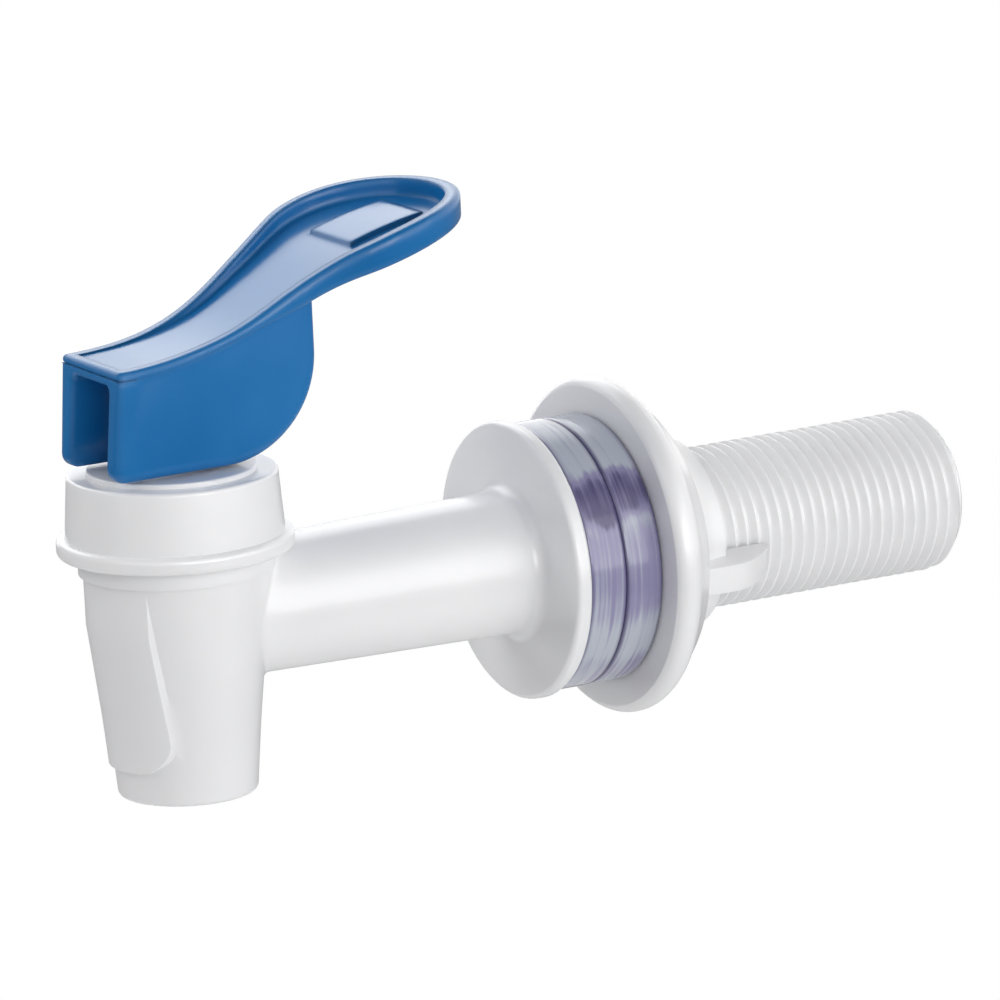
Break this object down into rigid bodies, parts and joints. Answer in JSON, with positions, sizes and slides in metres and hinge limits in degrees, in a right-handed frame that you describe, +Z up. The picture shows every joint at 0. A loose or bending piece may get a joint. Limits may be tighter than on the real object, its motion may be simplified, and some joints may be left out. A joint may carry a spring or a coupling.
{
  "type": "water dispenser tap",
  "caption": "Push-lever water tap with a tapered spout body, screwed bonnet, dished cam lever, flanged pipe, silicone washers, threaded shank and winged lock nut.",
  "frame": {"origin": "centre of the body flange's back face, on the axis of the shank and its water way", "axes": "+Y along the shank, away from the spout and into the panel; +Z up; +X across, along the lever's pivot"},
  "size_m": [0.0348, 0.0994, 0.0579],
  "materials": {
    "white_plastic": "glossy moulded",
    "blue_plastic": "glossy moulded",
    "natural_plastic": "natural moulded",
    "spring_steel": "drawn wire",
    "clear_silicone": "soft translucent",
    "washer_silicone": "soft translucent"
  },
  "bodies": {
    "tap": {"tap_body": "white_plastic", "bonnet": "white_plastic", "outer_washer": "washer_silicone", "seat_cup": "clear_silicone"},
    "swivel": {"return_spring": "spring_steel"},
    "stem": {"stem": "natural_plastic"},
    "lever": {"lever": "blue_plastic"},
    "washer": {"inner_washer": "washer_silicone"},
    "nut": {"lock_nut": "white_plastic"}
  },
  "joints": [
    {"name": "lever_swivel", "type": "hinge", "parent": "tap", "child": "swivel", "pos_m": [0, -0.0395, 0], "axis": [0, 0, 1], "continuous": true},
    {"name": "stem_lift", "type": "slide", "parent": "swivel", "child": "stem", "axis": [0, 0, 1], "range_m": [0, 0.00185], "deforming": ["return_spring", "seat_cup"]},
    {"name": "lever_press", "type": "hinge", "parent": "stem", "child": "lever", "pos_m": [0, -0.0395, 0.0213], "axis": [-1, 0, 0], "range_deg": [0, 25], "stiffness_Nm_per_rad": 0.0088, "springref_deg": -81.93},
    {"name": "nut_travel", "type": "slide", "parent": "tap", "child": "washer", "axis": [0, 1, 0], "range_m": [0, 0.0161]},
    {"name": "nut_turn", "type": "hinge", "parent": "washer", "child": "nut", "pos_m": [0, 0, 0], "axis": [0, 1, 0], "range_deg": [0, 4320]}
  ],
  "couplings": [
    {"joint": "stem_lift", "follows": "lever_press", "m_per_rad": 0.0042},
    {"joint": "nut_travel", "follows": "nut_turn", "m_per_rad": 0.00021279}
  ]
}
